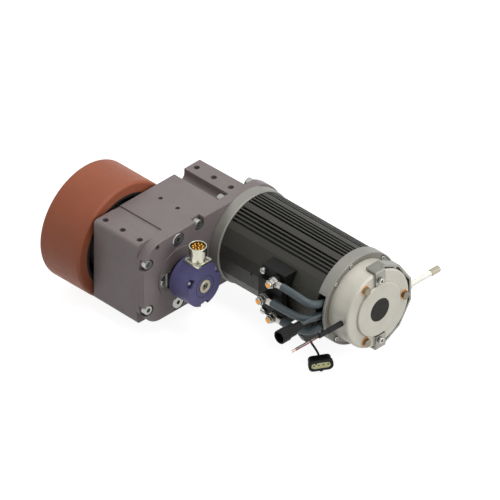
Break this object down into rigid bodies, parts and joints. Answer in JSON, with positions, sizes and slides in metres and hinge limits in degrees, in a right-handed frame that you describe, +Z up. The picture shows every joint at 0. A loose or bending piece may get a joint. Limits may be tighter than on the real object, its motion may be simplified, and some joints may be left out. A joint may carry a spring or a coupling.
{
  "type": "agv drive wheel unit",
  "caption": "Drive unit of a guided vehicle: wheel on a parallel-shaft gearbox with motor, holding brake, encoder and power terminals.",
  "frame": {"origin": "centre of the four outer mounting holes, on the gearbox's top face", "axes": "+Z up out of the mounting face, +Y along the axle towards the wheel, +X from the wheel axis to the motor axis"},
  "size_m": [0.3128, 0.4046, 0.16],
  "materials": {
    "gearbox_paint": "satin",
    "cast_aluminium": "cast",
    "brake_aluminium": "machined",
    "motor_black": "anodised satin",
    "steel_fasteners": "zinc",
    "bearing_steel": "ground",
    "shaft_steel": "machined",
    "lamination_steel": "stacked",
    "winding_copper": "enamelled copper",
    "washer_copper": "plain",
    "terminal_brass": "plain",
    "gold_pins": "plated",
    "connector_nickel": "nickel plated",
    "encoder_blue": "satin",
    "black_plastic": "moulded",
    "black_rubber": "smooth",
    "cable_grey": "matt jacket",
    "core_red": "smooth",
    "core_black": "smooth",
    "hub_iron": "painted black",
    "tread_polyurethane": "moulded",
    "ring_beige": "smooth",
    "brake_lining": "pressed",
    "lever_steel": "zinc",
    "insert_yellow": "moulded",
    "plug_rubber": "moulded",
    "handle_ivory": "smooth"
  },
  "bodies": {
    "root": {"gearbox_housing": "gearbox_paint", "gearbox_cover": "gearbox_paint", "gearbox_screws": "steel_fasteners", "oil_plugs": "steel_fasteners", "output_bearings": "bearing_steel", "small_bearings": "bearing_steel", "shaft_seals": "black_rubber", "motor_front_shield": "cast_aluminium", "motor_housing": "motor_black", "stator_core": "lamination_steel", "stator_windings": "winding_copper", "motor_rear_shield": "cast_aluminium", "rear_shield_screws": "steel_fasteners", "brake_cover": "brake_aluminium", "brake_plug": "plug_rubber", "brake_magnet": "lamination_steel", "brake_coil": "winding_copper", "brake_springs": "steel_fasteners", "brake_screws": "steel_fasteners", "brake_washers": "washer_copper", "encoder_bracket": "steel_fasteners", "encoder_back_flange": "black_plastic", "encoder_body": "encoder_blue", "encoder_screws": "steel_fasteners", "encoder_connector_shell": "connector_nickel", "encoder_connector_insert": "black_plastic", "encoder_connector_pins": "gold_pins", "terminal_block": "black_plastic", "terminal_insulators": "black_plastic", "terminal_hardware": "steel_fasteners", "terminal_bolts": "terminal_brass", "cable_lugs": "connector_nickel", "power_cables": "cable_grey", "brake_lead_boot": "black_rubber", "brake_lead": "black_rubber", "brake_core_red": "core_red", "brake_core_black": "core_black", "round_connector": "black_plastic", "round_connector_lead": "cable_grey", "sensor_outlet": "motor_black", "sensor_cable": "black_rubber", "sensor_connector": "black_plastic", "sensor_connector_insert": "insert_yellow"},
    "wheel": {"output_shaft": "shaft_steel", "output_gear": "shaft_steel", "wheel_hub": "hub_iron", "wheel_tread": "tread_polyurethane", "wheel_bolts": "steel_fasteners", "encoder_spindle": "shaft_steel", "encoder_ring": "ring_beige"},
    "intermediate": {"intermediate_shaft": "shaft_steel", "intermediate_gear": "shaft_steel"},
    "rotor": {"motor_shaft": "shaft_steel", "motor_rotor": "lamination_steel", "brake_disc": "brake_lining"},
    "armature": {"brake_armature": "lamination_steel", "release_screws": "steel_fasteners"},
    "lever": {"release_lever": "lever_steel", "release_handle": "handle_ivory", "handle_tip": "lever_steel"}
  },
  "joints": [
    {"name": "wheel_spin", "type": "hinge", "parent": "root", "child": "wheel", "pos_m": [-0.03375, 0.078, -0.06], "axis": [0, 1, 0], "continuous": true},
    {"name": "intermediate_spin", "type": "hinge", "parent": "root", "child": "intermediate", "pos_m": [0.02225, 0, -0.06], "axis": [0, 1, 0], "continuous": true},
    {"name": "rotor_spin", "type": "hinge", "parent": "root", "child": "rotor", "pos_m": [0.08425, -0.15, -0.06], "axis": [0, 1, 0], "continuous": true},
    {"name": "lever_tilt", "type": "hinge", "parent": "root", "child": "lever", "pos_m": [0.0775, -0.2846, -0.06], "axis": [0, 0, 1], "range_deg": [-4, 0], "stiffness_Nm_per_rad": 5},
    {"name": "armature_slide", "type": "slide", "parent": "root", "child": "armature", "axis": [0, -1, 0], "range_m": [0, 0.0005]}
  ],
  "couplings": [
    {"joint": "intermediate_spin", "follows": "wheel_spin", "ratio": -2.7333},
    {"joint": "rotor_spin", "follows": "wheel_spin", "ratio": 7.2353},
    {"joint": "armature_slide", "follows": "lever_tilt", "m_per_rad": -0.007162}
  ]
}
